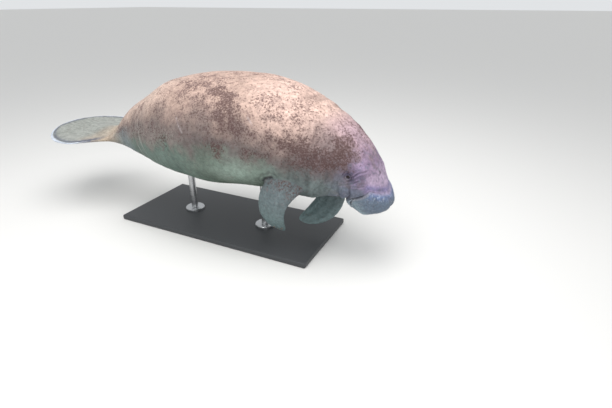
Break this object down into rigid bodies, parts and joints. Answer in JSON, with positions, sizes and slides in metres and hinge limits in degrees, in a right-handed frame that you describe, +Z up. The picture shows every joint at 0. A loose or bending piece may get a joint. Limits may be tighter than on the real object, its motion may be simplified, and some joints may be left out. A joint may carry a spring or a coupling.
{
  "type": "life-size manatee model on a display stand",
  "caption": "Life-size West Indian manatee in a swimming pose, back arched and muzzle down, with jointless body pieces, flippers and paddle tail, held by two rods on a flat base.",
  "frame": {"origin": "the middle of the bounding box on the floor, under the stand's base", "axes": "+X towards the nose, +Y to the animal's left, +Z up"},
  "size_m": [2.706, 0.784, 1.0696],
  "materials": {
    "skin": "finely wrinkled hide, pinkish tan with dark algae speckle on the back, brown-grey flanks, grey belly",
    "eye": "wet dark brown, glossy",
    "stand": "satin charcoal powder coat",
    "rod": "brushed steel"
  },
  "bodies": {
    "root": {"muzzle": "skin", "head": "skin", "neck": "skin", "chest": "skin", "belly": "skin", "loin": "skin", "tail_stock": "skin", "tail_paddle": "skin", "flipper_left": "skin", "flipper_right": "skin", "eye_left": "eye", "eye_right": "eye", "stand_base": "stand", "stand_rod_front": "rod", "stand_rod_rear": "rod"}
  },
  "joints": []
}
